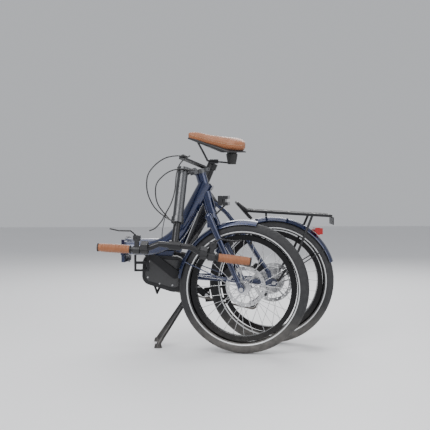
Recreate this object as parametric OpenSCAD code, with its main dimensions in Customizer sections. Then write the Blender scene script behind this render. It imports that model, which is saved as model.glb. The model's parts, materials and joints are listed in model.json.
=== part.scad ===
// Folding bicycle with a centre motor, shown folded, with a frame hinge, a folding handlepost and folding pedals.
// The rear half stays put. The front half is drawn as if unfolded and carried round the frame hinge.
// Rear half: origin on the ground under the rear axle, +X to the rear, +Y to the bike's right, +Z up.

/* [Wheels] */
// Outer radius of both tyres
wheel_r = 258; // [220:1:320]
// Width of the tyres
tyre_w = 54; // [44:1:60]
// Radial depth of the rims
rim_depth = 20; // [16:1:26]
// Width of the rims
rim_w = 30; // [26:1:32]
// Spokes in each wheel
spoke_count = 28; // [20:4:36]
// Thickness of a spoke
spoke_d = 2; // [1.8:0.1:2.6]
// Radius of the brake discs
rotor_r = 80; // [70:1:90]
// Gap between a tyre and its fender
fender_gap = 8; // [6:1:14]

/* [Frame] */
// Diameter of the main tube, either side of the hinge
tube_d = 56; // [46:1:62]
// Wall of the frame tubes
tube_wall = 2.5; // [1.5:0.5:4]
// Height of the main tube above the axles, at the hinge
tube_rise = 151; // [145:1:165]
// Distance of the frame hinge pin from the middle plane
hinge_side = 67; // [60:1:75]
// Diameter of the frame hinge pin
hinge_pin_d = 10; // [8:1:12]
// Angle through which the frame is folded
fold_angle = 166.5; // [0:0.5:166.5]
// Tilt of the seat tube from upright
seat_lean = 22.5; // [15:0.5:25]
// Outer diameter of the seat tube
seat_tube_d = 38; // [35:1:42]
// Diameter of the seatpost
seatpost_d = 31; // [27:0.2:32]
// Length of the seatpost above the seat tube
seatpost_out = 92; // [80:1:200]
// Length of the head tube
head_len = 157; // [120:1:180]
// Diameter of the head tube
head_d = 42; // [38:1:48]
// Tilt of the head tube from upright
head_lean = 15.7; // [12:0.1:20]

/* [Handlebar] */
// Length of the handlepost from its hinge to the bar
post_len = 313; // [250:1:360]
// Diameter of the outer handlepost tube
post_d = 40; // [34:1:44]
// Diameter of the telescoping inner post
stem_d = 28; // [24:1:32]
// Angle through which the handlepost is folded
post_fold = 153; // [0:1:153]
// Width of the handlebar, grip end to grip end
bar_w = 588; // [480:1:640]
// Diameter of the handlebar
bar_d = 22; // [20:1:26]
// Length of a grip
grip_len = 128; // [100:1:140]
// Diameter of a grip
grip_d = 34; // [30:1:38]

/* [Drive] */
// Length of the cranks
crank_len = 170; // [150:1:175]
// Angle of the left crank above the forward direction
crank_up = 38; // [30:1:45]
// Radius of the chainring
ring_r = 76; // [66:1:84]
// Teeth on the chainring
ring_teeth = 46; // [38:1:52]
// Radius of the sprocket that carries the chain
cog_r = 33; // [24:1:40]
// Distance of the chain from the middle plane
chain_y = 58; // [56:0.5:60]
// Length of a pedal
pedal_len = 102; // [80:1:104]
// Width of a pedal
pedal_w = 60; // [50:1:64]

/* [Luggage rack] */
// Length of the rack deck
rack_len = 345; // [280:1:380]
// Distance between the rack rails
rack_w = 120; // [100:1:150]
// Distance between the two holes of the rear plate
plate_holes = 80; // [50:10:80]

/* [Hidden] */
$fn = 48;
// Clearances: free fit of neighbours, and running fit of a shaft in its bore
free = 0.3;
run = 0.06;

// Colours
navy = "midnightblue";
tan_leather = "chocolate";
black = "#222326";
charcoal = "#4a4b4e";
silver = "silver";
rubber = "#2b2b2c";

// Rear half: places in the middle plane, as [x, z]
axle_z = wheel_r;
rear_axle = [0, axle_z];
bb = [-(wheel_r + 145), axle_z + 38];
hinge_x = -(wheel_r + 335);
hinge_y = -hinge_side;
tube_z = axle_z + tube_rise;
seat_top = [-(wheel_r + 18), axle_z + 410];
seat_dir = [sin(seat_lean), cos(seat_lean)];
function on_seat(d) = seat_top + d * seat_dir;
function seat_x(z) = seat_top[0] + (z - seat_top[1]) * tan(seat_lean);

// Front half: the same axes, with the origin on the ground under the front axle
hinge_from_front = wheel_r + 229;
wheelbase = hinge_from_front - hinge_x;
head_low = [129, axle_z + wheel_r + 33];
head_dir = [sin(head_lean), cos(head_lean)];
head_top = head_low + (head_len + 6) * head_dir;
bend_r = 175;
bend_at = [wheel_r + 139, tube_z + bend_r];
slope = 61;

// The handlepost hinge, in the steering frame
post_turn = 51;
post_off = 40.5;
post_h = 17.5;
bar_z = post_h + post_len;
bar_rise = 29;
bar_sweep = 23.5;

// Across the bike
dropout_y = 69;
crank_in = 72;
crank_t = 12;
pedal_t = 14;
pedal_in = crank_in + crank_t + 3;
fork_y = 53;
rotor_y = 44;

// The origin lies on the ground, in the middle of the folded bike's box
centre = [-223, -151, 0];

// ---- Helpers ----

// A straight round bar between two points
module rod(a, b, r) {
    d = b - a;
    len = norm(d);
    translate(a) rotate([0, acos(d[2] / len), atan2(d[1], d[0])]) cylinder(h = len, r = r);
}
// A straight cone between two points
module taper(a, b, r1, r2) {
    d = b - a;
    len = norm(d);
    translate(a) rotate([0, acos(d[2] / len), atan2(d[1], d[0])]) cylinder(h = len, r1 = r1, r2 = r2);
}
// Round bars through a list of points, with ball corners
module pipe(pts, r) {
    for (i = [0 : len(pts) - 2]) rod(pts[i], pts[i + 1], r);
    if (len(pts) > 2) for (i = [1 : len(pts) - 2]) translate(pts[i]) sphere(r * 1.03);
}
// A cylinder across the bike, centred on y, at a place [x, z]
module across(p, y, w, r) translate([p[0], y, p[1]]) rotate([90, 0, 0]) cylinder(h = w, r = r, center = true);
// An outline in the X-Z plane, extruded across the bike about y
module plate(y, w) translate([0, y, 0]) rotate([90, 0, 0]) linear_extrude(w, center = true) children();
// A bent tube's outer or inner skin: an arc in the X-Z plane
module arc(p, r, from, sweep, tube_r)
    translate([p[0], 0, p[1]]) rotate([90, 0, 0]) rotate([0, 0, from])
        rotate_extrude(angle = sweep) translate([r, 0]) circle(tube_r);
// Both sides of the bike
module both() { children(); mirror([0, 1, 0]) children(); }

// ---- Frames of the moving halves ----

module rear() translate(-centre) children();
module front()
    rear() translate([hinge_x, hinge_y, 0]) rotate([0, 0, fold_angle])
        translate([-hinge_x - wheelbase, -hinge_y, 0]) children();
module steer() front() translate([head_top[0], 0, head_top[1]]) rotate([0, head_lean, 0]) children();
module post()
    steer() rotate([0, 0, post_turn]) translate([post_off, 0, post_h]) rotate([0, post_fold, 0])
        translate([-post_off, 0, -post_h]) rotate([0, 0, -post_turn]) children();
module seat() rear() translate([seat_top[0], 0, seat_top[1]]) rotate([0, seat_lean, 0]) children();
module at_bb() rear() translate([bb[0], 0, bb[1]]) children();

// ---- Wheels, about the axle at the origin ----

rim_in = wheel_r - tyre_w / 2 - 22 - rim_depth;
rim_out = rim_in + rim_depth;
module spin() rotate([90, 0, 0]) rotate_extrude($fn = 96) children();
module tyre_shape() color(rubber) spin() difference() {
    translate([wheel_r - tyre_w / 2, 0]) circle(tyre_w / 2);
    translate([wheel_r - tyre_w / 2, 0]) circle(tyre_w / 2 - 4);
    for (s = [-1, 1]) translate([rim_in, s * (rim_w / 2 - 2.6) + (s < 0 ? -20 : 0)]) square([rim_depth + 0.1, 20]);
    translate([rim_in, -30]) square([rim_depth - 8, 60]);
}
module rim_shape() color(black) spin() difference() {
    translate([rim_in, -rim_w / 2]) square([rim_depth, rim_w]);
    translate([rim_out - 9, -rim_w / 2 + 2.5]) square([10, rim_w - 5]);
    translate([rim_in + 3, -rim_w / 2 + 2.5]) square([rim_depth - 14, rim_w - 5]);
}
module spoke_set(flange_r, flange_y) color(silver)
    for (i = [0 : spoke_count - 1]) {
        side = i % 2 == 0 ? 1 : -1;
        lead = (i % 4 < 2 ? 1 : -1) * 62;
        a = i * 360 / spoke_count;
        lift = 1.7 * sign(lead);
        rod([(flange_r - 3) * cos(a + lead), side * (flange_y + lift), (flange_r - 3) * sin(a + lead)],
            [(rim_in + 1) * cos(a), side * (5 + lift / 3), (rim_in + 1) * sin(a)], spoke_d / 2);
    }
module hub_shape(flange_r, flange_y, half, end) color(silver) {
    spin() polygon([[0, -half], [11, -half], [11, -flange_y - 3], [flange_r, -flange_y - 2], [flange_r, -flange_y + 2],
        [15, -flange_y + 5], [15, flange_y - 5], [flange_r, flange_y - 2], [flange_r, flange_y + 2],
        [11, flange_y + 3], [11, half], [0, half]]);
    rotate([90, 0, 0]) cylinder(h = 2 * end, r = 5, center = true);
    for (s = [-1, 1]) translate([0, s * (end - 6), 0]) rotate([90, 0, 0]) cylinder(h = 7, r = 9, center = true, $fn = 6);
}
module rotor_shape() color(silver) translate([0, -rotor_y, 0]) rotate([90, 0, 0]) linear_extrude(1.8, center = true) {
    difference() {
        circle(rotor_r, $fn = 96);
        circle(rotor_r - 15, $fn = 96);
        for (i = [0 : 23]) rotate(i * 15) translate([rotor_r - 5 - 5 * (i % 2), 0]) circle(2.6, $fn = 16);
    }
    for (i = [0 : 5]) rotate(i * 60) translate([20, -3]) rotate(12) square([rotor_r - 34, 6]);
    difference() {
        circle(25);
        circle(16);
    }
}
module rotor_carrier() color(silver) translate([0, -rotor_y, 0]) rotate([90, 0, 0]) difference() {
    cylinder(h = 7, r = 22, center = true);
    cylinder(h = 8, r = 16, center = true);
}

// ---- Rear frame ----

plate_t = 13;
plate_low = tube_z - 55;
plate_h = 90;
knuckle_r = 13;
knuckle_z = [plate_low + 28, plate_low + 62];
module hinge_bore() translate([hinge_x, hinge_y, 0]) cylinder(h = 1000, r = hinge_pin_d / 2 + run);
// One half of the frame hinge: dir is 1 for the rear half and -1 for the front half
module hinge_half(dir, zs) {
    translate([dir > 0 ? free / 2 : -plate_t, -34, plate_low]) cube([plate_t - free / 2, 68, plate_h]);
    for (z = zs) {
        translate([dir > 0 ? 1 : -plate_t, hinge_y, z[0]]) cube([plate_t - 1, 34, z[1] - z[0]]);
        translate([0, hinge_y, z[0]]) cylinder(h = z[1] - z[0], r = knuckle_r);
    }
}
module motor_outline() hull() {
    translate([bb[0] - 97, bb[1] + 40]) circle(34);
    translate([bb[0] - 95, bb[1] - 9]) circle(38);
    translate([bb[0] - 2, bb[1] - 21]) circle(55);
    translate([bb[0] + 3, bb[1] + 24]) circle(44);
}
module rear_frame_tube() rear() color(navy) difference() {
    union() {
        translate([hinge_x, 0, 0]) hinge_half(1, [knuckle_z]);
        rod([hinge_x + plate_t - 1, 0, tube_z], [seat_x(tube_z), 0, tube_z], tube_d / 2);
        translate([bb[0] - 110, -16, tube_z - tube_d / 2 - 14]) cube([120, 32, 24]);
    }
    rod([hinge_x + plate_t + 4, 0, tube_z], [seat_x(tube_z) + 40, 0, tube_z], tube_d / 2 - tube_wall);
    seat_skin();
    hinge_bore();
    plate(0, 200) motor_outline();
}
module seat_skin() rod([seat_x(tube_z - 60), 0, tube_z - 60], [on_seat(40)[0], 0, on_seat(40)[1]], seat_tube_d / 2);
module seat_tube() seat() color(navy) {
    low = -(seat_top[1] - tube_z + 26) / cos(seat_lean);
    difference() {
        translate([0, 0, low]) cylinder(h = -low, r = seat_tube_d / 2);
        translate([0, 0, low + 6]) cylinder(h = 600, r = seatpost_d / 2 + run);
        translate([seat_tube_d / 2 - 6, -1, -30]) cube([12, 2, 31]);
    }
}
module dropout_bore() across(rear_axle, 0, 300, 5 + run);
module chainstays() rear() color(navy) difference() {
    both() {
        pipe([[bb[0] + 34, 30, axle_z + 25], [-(wheel_r + 20), 46, axle_z + 20], [-120, 60, axle_z + 8],
            [-62, dropout_y - 2, axle_z + 5]], 10.5);
        plate(dropout_y, 6) hull() {
            translate(rear_axle) circle(15, $fn = 32);
            translate(rear_axle + [-66, 5]) circle(9.5, $fn = 32);
        }
    }
    dropout_bore();
    plate(0, 100) motor_outline();
}
stay_top = [on_seat(-72)[0] + 6, on_seat(-72)[1]];
module seat_stays() rear() color(navy) difference() {
    union() {
        stay_bridges();
        both() {
        pipe([[stay_top[0] + 12, 20, stay_top[1]], [-(wheel_r - 25), 27, axle_z + 322], [-(wheel_r - 68), 33, axle_z + 283],
            [-97, 54, axle_z + 163], [-24, dropout_y + 3, axle_z + 46]], 8.5);
        plate(dropout_y, 6) difference() {
            hull() {
                translate(rear_axle + [-22, 44]) circle(10, $fn = 32);
                translate(rear_axle + [-14, 20]) circle(7, $fn = 32);
            }
            hull() {
                translate(rear_axle) circle(15.05, $fn = 32);
                translate(rear_axle + [-66, 5]) circle(9.55, $fn = 32);
            }
        }
    }
    }
    seat_skin();
}
module stay_bridges() {
    rod([stay_top[0] + 14, -20, stay_top[1]], [stay_top[0] + 14, 20, stay_top[1]], 7.5);
    rod([-(wheel_r - 55), -29, axle_z + 294], [-(wheel_r - 55), 29, axle_z + 294], 7);
}
module hinge_pin() rear() color(silver) translate([hinge_x, hinge_y, plate_low - 3]) {
    cylinder(h = plate_h + 6, r = hinge_pin_d / 2);
    translate([0, 0, -4]) cylinder(h = 4, r = 9);
    translate([0, 0, plate_h + 6]) cylinder(h = 4, r = 9);
}
module spindle_bore() across(bb, 0, 400, 10 + run);
module motor_housing() rear() color(black) difference() {
    plate(-2, 88) motor_outline();
    spindle_bore();
}
module motor_cover() rear() color("#303136") difference() {
    union() {
        plate(-50.3, 8) hull() {
            translate([bb[0] - 93, bb[1] + 38]) circle(24);
            translate([bb[0] - 92, bb[1] - 4]) circle(28);
            translate([bb[0] - 4, bb[1] - 14]) circle(42);
            translate([bb[0] + 2, bb[1] + 20]) circle(36);
        }
        plate(-56.3, 4) hull() {
            translate([bb[0] - 82, bb[1] + 26]) circle(16);
            translate([bb[0] - 60, bb[1] - 8]) circle(14);
            translate([bb[0] - 12, bb[1] + 4]) circle(30);
        }
    }
    across(bb, -50, 60, 14);
}
module battery() seat() color(black) difference() {
    hull() {
        for (s = [-1, 1]) for (z = [-258, -36]) translate([seat_tube_d / 2 + 12, s * 26, z]) sphere(10, $fn = 32);
        translate([seat_tube_d / 2 + 52, 0, -62]) rotate([90, 0, 0]) cylinder(h = 58, r = 10, center = true, $fn = 32);
        translate([seat_tube_d / 2 + 24, 0, -250]) rotate([90, 0, 0]) cylinder(h = 58, r = 10, center = true, $fn = 32);
    }
    cylinder(h = 900, r = seat_tube_d / 2 + free, center = true);
    battery_room();
}
// The space behind the seat tube that the stays and the wheel take
module battery_room() {
    rotate([0, -seat_lean, 0]) translate([-seat_top[0], 0, -seat_top[1]]) {
        both() pipe([[stay_top[0] + 12, 20, stay_top[1]], [-(wheel_r - 25), 27, axle_z + 322],
            [-(wheel_r - 68), 33, axle_z + 283]], 9);
        rod([stay_top[0] + 14, -20, stay_top[1]], [stay_top[0] + 14, 20, stay_top[1]], 9);
        across(rear_axle, 0, 90, wheel_r + fender_gap + 8);
    }
}
module foot_bracket() rear() color(black) {
    x = bb[0] - 72;
    difference() {
        for (s = [-18, 18])
            pipe([[x - 16, s, bb[1] - 38], [x, s, bb[1] - 84], [x + 16, s, bb[1] - 50]], 4);
        plate(-2, 88.4) motor_outline();
    }
    rod([x, -18, bb[1] - 84], [x, 18, bb[1] - 84], 4);
}
kick_at = [bb[0] + 50, axle_z - 68];
bridge_at = [bb[0] + 66, axle_z + 19];
module kickstand_bracket() rear() color(black) difference() {
    union() {
        translate([kick_at[0] - 10, -19, kick_at[1] - 12]) cube([22, 38, bridge_at[1] - kick_at[1] - 0.5]);
        rod([bridge_at[0], -33, bridge_at[1]], [bridge_at[0], 33, bridge_at[1]], 8);
    }
    plate(0, 100) motor_outline();
    across(kick_at, 0, 100, 6 + run);
    both() pipe([[bb[0] + 34, 30, axle_z + 25], [-(wheel_r + 20), 46, axle_z + 20]], 10.5);
}
module kickstand() rear() color(black) {
    across(kick_at, 0, 62, 6);
    for (foot = [[bb[0] - 69, -95], [bb[0] - 69, 70]]) {
        s = sign(foot[1]);
        difference() {
            union() {
                across(kick_at, s * 26, 12, 13);
                rod([kick_at[0], s * 26, kick_at[1]], [foot[0], foot[1], 12], 8.5);
            }
            translate([kick_at[0] - 30, -19.5, kick_at[1] - 20]) cube([60, 39, 40]);
        }
        translate([foot[0], foot[1], 0]) cylinder(h = 16, r1 = 17, r2 = 12);
    }
}

// ---- Fenders, about the axle at the origin ----

fender_r = wheel_r + fender_gap;
module fender_shape(from, to)
    rotate([90, 0, 0]) rotate([0, 0, from]) rotate_extrude(angle = to - from, $fn = 96) difference() {
        translate([fender_r - 30, 0]) circle(32);
        translate([fender_r - 30, 0]) circle(30);
        translate([0, -50]) square([fender_r - 16, 100]);
    }
module rear_fender() rear() translate([0, 0, axle_z]) color(navy) fender_shape(18, 152);
// A stay in the direction a from the axle, bent in at its top to meet the fender's edge
module stay_to_fender(pts, a) both() pipe(concat(pts, [[(fender_r - 24) * cos(a), 36, (fender_r - 24) * sin(a)],
    [(fender_r - 14.5) * cos(a), 31.4, (fender_r - 14.5) * sin(a)]]), 2.5);
module fender_stays() rear() translate([0, 0, axle_z]) color(black)
    stay_to_fender([[15.4 * cos(32), dropout_y, 15.4 * sin(32)]], 32);

// ---- Luggage rack ----

deck = [-(wheel_r - 153), axle_z + 294];
deck_end = deck + [rack_len, -22];
module deck_point(d) translate([deck[0] + d, 0, deck[1] - d * 22 / rack_len]) children();
function deck_at(d, y) = [deck[0] + d, y, deck[1] - d * 22 / rack_len];
module rack() rear() color(black) {
    both() {
        pipe([[deck[0] + 16, rack_w / 2 - 14, deck[1] - 33], [deck[0] - 40, rack_w / 2 - 14, deck[1] + 30],
            deck_at(0, rack_w / 2), deck_at(rack_len, rack_w / 2)], 6);
        rod(deck_at(30, rack_w / 5), deck_at(rack_len - 5, rack_w / 5), 4.5);
        pipe([deck_at(265, rack_w / 2), [100, dropout_y + 8.5, axle_z + 130], [16.5, dropout_y + 8.5, axle_z + 4]], 5);
    }
    rod([-25, 0, axle_z + fender_r + 1.8], [-25, 0, deck[1] - 4], 4);
    rod([deck[0] - 40, -rack_w / 2 + 14, deck[1] + 30], [deck[0] - 40, rack_w / 2 - 14, deck[1] + 30], 6);
    for (d = [32, 80, 178, 280, rack_len - 3]) rod(deck_at(d, -rack_w / 2), deck_at(d, rack_w / 2), 5);
}
plate_x = deck_end[0] + 9;
module rack_plate() rear() color(black) difference() {
    union() {
        translate([plate_x - 3, -55, deck_end[1] - 37]) cube([3, 110, 31]);
        translate([plate_x - 12, -40, deck_end[1] - 8.4]) cube([12, 80, 3]);
    }
    for (s = [-1, 1]) translate([plate_x, s * plate_holes / 2, deck_end[1] - 24]) rotate([0, 90, 0])
        cylinder(h = 30, r = 2.75, center = true);
}
tail_at = [fender_r * cos(56) + 40, axle_z + fender_r * sin(56) - 8];
module tail_light() rear() {
    color("firebrick") translate([tail_at[0] + 6, -30, tail_at[1] - 18]) cube([12, 60, 26]);
    difference() {
        color(black) union() {
            translate([tail_at[0] - 14, -32, tail_at[1] - 20]) cube([20, 64, 30]);
            translate([tail_at[0] - 50, -10, tail_at[1] - 8]) cube([40, 20, 10]);
        }
        across(rear_axle, 0, 100, fender_r + 2.5);
    }
}

// ---- Rear brake, derailleur and chain ----

module caliper_shape() color(black) difference() {
    union() {
        translate([-22, -rotor_y - 14, -16]) cube([44, 26, 32]);
        translate([0, -rotor_y - 13, 0]) rotate([90, 0, 0]) cylinder(h = 5, r = 11);
    }
    translate([-40, -rotor_y - 1.8, -40]) cube([80, 3.6, 42]);
}
module rear_caliper() rear() translate([-62, 0, axle_z + 58]) rotate([0, -40, 0]) {
    caliper_shape();
    color(black) {
        translate([-9, -rotor_y - 14, 14]) cube([18, 26, 8]);
        translate([14, -rotor_y - 14, -9]) cube([16, 8, 18]);
    }
}
jockey_top = [-22, axle_z - 55];
jockey_low = [-78, axle_z - 102];
jockey_r = 15;
module derailleur_body() rear() color(charcoal) difference() {
    union() {
        plate(dropout_y + 6, 5) hull() {
            translate(rear_axle + [4, -19.5]) circle(9, $fn = 32);
            translate(rear_axle + [10, -36]) circle(8, $fn = 32);
        }
        rod([10, dropout_y + 8, axle_z - 36], [jockey_top[0], chain_y + 17, jockey_top[1]], 8);
        across(jockey_top, chain_y + 13, 14, 9);
    }
    across(jockey_top, chain_y + 10, 60, 4 + run);
}
module derailleur_cage() rear() {
    color(charcoal) {
        for (y = [chain_y - 5.5, chain_y + 4.8]) difference() {
            plate(y, 1.6) hull() {
                translate(jockey_top) circle(8, $fn = 32);
                translate(jockey_low) circle(8, $fn = 32);
            }
            across(jockey_low, chain_y, 60, 2.5);
        }
        across(jockey_top, chain_y + 11, 14, 4);
    }
    color(black) for (j = [jockey_top, jockey_low]) across(j, chain_y, 3, jockey_r);
    color(silver) across(jockey_low, chain_y, 12.5, 2.5);
    color(silver) across(jockey_top, chain_y - 1, 9, 2.5);
}
chain_w = 5.4;
link_h = 8;
// One straight run of chain between two places in its plane
module chain_run(a, b) {
    d = b - a;
    translate([a[0], chain_y - chain_w / 2, a[1]]) rotate([0, -atan2(d[1], d[0]), 0])
        translate([0, 0, -link_h / 2]) cube([norm(d), chain_w, link_h]);
}
module chain_arc(p, r, from, sweep) translate([p[0], chain_y, p[1]]) rotate([90, 0, 0]) rotate([0, 0, from + 0.3])
    rotate_extrude(angle = sweep - 0.6) translate([r, -chain_w / 2]) square([link_h, chain_w]);
module chain() rear() color(charcoal) {
    rc = ring_r + 0.8;
    sc = cog_r + 0.8;
    mid = link_h / 2;
    lean_up = atan2(rear_axle[1] - bb[1], rear_axle[0] - bb[0]) + asin((rc - sc) / norm(rear_axle - bb));
    up = lean_up + 90 - 2 * asin((rc - sc) / norm(rear_axle - bb));
    low = [jockey_low[0], jockey_low[1] - jockey_r - mid - 1];
    chain_arc(bb, rc, up, 262 - up);
    chain_run(bb + (rc + mid) * [cos(up), sin(up)], rear_axle + (sc + mid) * [cos(up), sin(up)]);
    chain_arc(rear_axle, sc, -80, 80 + up);
    chain_run(bb + (rc + mid) * [cos(262), sin(262)], low);
    chain_arc(jockey_low, jockey_r + 1, 270, 60);
    chain_run(jockey_low + (jockey_r + 5) * [cos(-30), sin(-30)], jockey_top + (jockey_r + 5) * [cos(200), sin(200)]);
}

// ---- Seat ----

module seat_clamp() seat() color(black) difference() {
    union() {
        translate([0, 0, -24]) cylinder(h = 26, r = seat_tube_d / 2 + 6);
        translate([seat_tube_d / 2 + 2, -13, -22]) cube([16, 26, 20]);
    }
    translate([0, 0, -30]) cylinder(h = 30 + run, r = seat_tube_d / 2 + run);
    translate([0, 0, -30]) cylinder(h = 60, r = seatpost_d / 2 + 0.4);
    translate([seat_tube_d / 2 - 4, -1.5, -40]) cube([40, 3, 80]);
    lever_pin(run);
}
module lever_pin(gap) translate([seat_tube_d / 2 + 12, 0, -12]) rotate([90, 0, 0]) cylinder(h = 60, r = 3 + gap, center = true);
module seat_clamp_lever() seat() color(silver) {
    x = seat_tube_d / 2 + 12;
    translate([x, 0, -12]) rotate([90, 0, 0]) cylinder(h = 46, r = 3, center = true);
    translate([x, 20, -12]) rotate([90, 0, 0]) cylinder(h = 8, r = 8, center = true);
    translate([x, -24.5, -12]) rotate([90, 0, 0]) cylinder(h = 17, r = 8, center = true);
    translate([x - 56, -33, -17]) cube([56, 6.5, 10]);
}
module seatpost() seat() color(black) difference() {
    translate([0, 0, -235]) cylinder(h = 235 + seatpost_out - 11, r = seatpost_d / 2);
    translate([0, 0, -240]) cylinder(h = 260, r = seatpost_d / 2 - 2.5);
}
saddle_at = [on_seat(seatpost_out)[0], 0, on_seat(seatpost_out)[1]];
module at_saddle() rear() translate(saddle_at) children();
module saddle_clamp() at_saddle() {
    color(black) difference() {
        union() {
            rotate([0, seat_lean, 0]) translate([0, 0, -34]) cylinder(h = 26, r = seatpost_d / 2 + 5);
            translate([-17, -29, -9]) cube([34, 58, 8]);
            translate([-17, -29, 1.5]) cube([34, 58, 7]);
            translate([0, 0, -9]) cylinder(h = 17, r = 6);
        }
        rotate([0, seat_lean, 0]) translate([0, 0, -60]) cylinder(h = 50, r = seatpost_d / 2 + run);
        rail_hole(2);
    }
    color(silver) both() pipe(rail_pts, 3.5);
}
rail_pts = [[-66, 9, 78], [-46, 17, 42], [-26, 22, 3], [50, 22, -5], [68, 30, -7]];
module rail_hole(i) both() rod(rail_pts[i], rail_pts[i + 1], 3.6);
module elastomer() at_saddle() color(black) difference() {
    both() {
        translate([74, 34, -12]) cylinder(h = 8, r = 15);
        translate([74, 34, -4]) cylinder(h = 34, r1 = 16, r2 = 22);
        translate([74, 34, 30]) cylinder(h = 6, r = 18);
    }
    both() rod(rail_pts[3], rail_pts[4] + [2, 0.9, 0], 3.7);
}
module saddle_base() at_saddle() color(black) difference() {
    saddle_base_shape();
    rail_hole(0);
}
module saddle_base_shape() {
    hull() {
        translate([-95, 0, 92]) cylinder(h = 5, r = 12, $fn = 32);
        for (s = [-1, 1]) translate([-40, s * 14, 70]) cylinder(h = 5, r = 12, $fn = 32);
    }
    hull() {
        for (s = [-1, 1]) translate([-40, s * 14, 70]) cylinder(h = 5, r = 12, $fn = 32);
        for (s = [-1, 1]) translate([60, s * 48, 36.3]) cylinder(h = 5, r = 28, $fn = 32);
        for (s = [-1, 1]) translate([105, s * 42, 36.3]) cylinder(h = 5, r = 24, $fn = 32);
    }
}
module saddle_cover() at_saddle() color(tan_leather) difference() {
    union() {
        hull() {
            translate([-96, 0, 105]) sphere(15, $fn = 32);
            for (s = [-1, 1]) translate([-40, s * 14, 88]) sphere(20, $fn = 32);
        }
        hull() {
            for (s = [-1, 1]) translate([-40, s * 14, 88]) sphere(20, $fn = 32);
            for (s = [-1, 1]) translate([50, s * 50, 64]) sphere(30, $fn = 32);
            for (s = [-1, 1]) translate([106, s * 46, 62]) sphere(30, $fn = 32);
        }
    }
    for (z = [-free, free]) translate([0, 0, z]) saddle_base_shape();
    translate([-40, -100, -20]) cube([300, 200, 56]);
}

// ---- Rear wheel and drive ----

module rear_wheel_at() rear() translate([0, 0, axle_z]) children();
module rear_tyre() rear_wheel_at() tyre_shape();
module rear_rim() rear_wheel_at() rim_shape();
module rear_spokes() rear_wheel_at() spoke_set(29, 27);
module rear_hub() rear_wheel_at() hub_shape(29, 27, 32, dropout_y + 14);
module rear_rotor() rear_wheel_at() { rotor_shape(); rear_carrier(); }
module rear_carrier() color(silver) difference() {
    translate([0, -37, 0]) rotate([90, 0, 0]) cylinder(h = 10.4, r = 22, center = true);
    rotate([90, 0, 0]) cylinder(h = 200, r = 11 + free, center = true);
}
cogs = 8;
module cassette() rear_wheel_at() color(silver) difference() {
    union() {
        for (i = [0 : cogs - 1]) across([0, 0], chain_y - 24 + 4 * i, 2, cog_r + 4 * (cogs - 2 - i));
        across([0, 0], chain_y - 10, 32, 18);
    }
    across([0, 0], 60, 120, 11 + free);
}
module arm_dir(a) at_bb() rotate([0, a, 0]) children();
left_turn = crank_up;
// A crank arm that points to -X, on the side of y
module crank_arm(side) difference() {
    hull() {
        across([0, 0], side * (crank_in + crank_t / 2), crank_t, 18);
        across([-crank_len, 0], side * (crank_in + crank_t / 2), crank_t, 13);
    }
    across([-crank_len, 0], side * (crank_in + crank_t / 2), crank_t + 1, 7 + run);
}
module left_crank() arm_dir(left_turn) color(black) difference() {
    crank_arm(-1);
    across([0, 0], -crank_in, 60, 10.02);
}
module right_crank() arm_dir(left_turn + 180) color(black) {
    crank_arm(1);
    across([0, 0], 0, 2 * (crank_in + crank_t) - 1, 10);
    across([0, 0], chain_y + 10, 9, 30);
}
module chainring() at_bb() color(charcoal) {
    plate(chain_y, 2.4) {
        difference() {
            circle(ring_r, $fn = 96);
            circle(ring_r - 15, $fn = 96);
        }
        difference() {
            for (i = [0 : 4]) rotate(i * 72) translate([12, -8]) square([ring_r - 20, 16]);
            circle(13);
        }
    }
    plate(chain_y + 4.5, 2) difference() {
        circle(ring_r + 10, $fn = 96);
        circle(ring_r - 14, $fn = 96);
    }
    for (i = [0 : 4]) rotate([0, i * 72, 0]) across([ring_r - 8, 0], chain_y + 2, 7, 4);
    difference() {
        across([0, 0], chain_y + 2, 6, 30);
        across([0, 0], chain_y, 60, 10.02);
    }
}
pedal_tip = -crank_len;
// A folded pedal hangs from its hinge block; turn is its lean from straight down
module pedal_place(side, turn) arm_dir(side < 0 ? left_turn : left_turn + 180)
    translate([pedal_tip, 0, 0]) rotate([0, -(side < 0 ? left_turn : left_turn + 180) + turn, 0]) children();
pedal_y = pedal_in + pedal_t / 2;
module pedal_axle(side) color(silver) {
    across([0, 0], side * (pedal_in - 8), 16, 7);
    difference() {
        translate([-11, side * pedal_y - pedal_t / 2, -9]) cube([22, pedal_t, 20]);
        translate([0, side * pedal_y, 0]) rotate([0, 90, 0]) cylinder(h = 80, r = 3 + run, center = true);
    }
}
module pedal(side) color(black) {
    difference() {
        translate([-pedal_w / 2, side * pedal_y - pedal_t / 2, 12 - pedal_len]) cube([pedal_w, pedal_t, pedal_len - 6]);
        translate([-11.6, -200, -12]) cube([23.2, 400, 60]);
        translate([-pedal_w / 2 + 9, -200, -50]) cube([pedal_w - 18, 400, 33]);
        translate([-pedal_w / 2 + 9, -200, 20 - pedal_len]) cube([pedal_w - 18, 400, 22]);
        translate([0, side * pedal_y, 0]) rotate([0, 90, 0]) cylinder(h = 80, r = 3, center = true);
    }
    translate([0, side * pedal_y, 0]) rotate([0, 90, 0]) cylinder(h = pedal_w - 4, r = 3, center = true);
}
right_lean = -97;
module left_pedal_axle() pedal_place(-1, 0) pedal_axle(-1);
module left_pedal() pedal_place(-1, 0) pedal(-1);
module right_pedal_axle() pedal_place(1, right_lean) pedal_axle(1);
module right_pedal() pedal_place(1, right_lean) pedal(1);

// ---- Front frame ----

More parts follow.
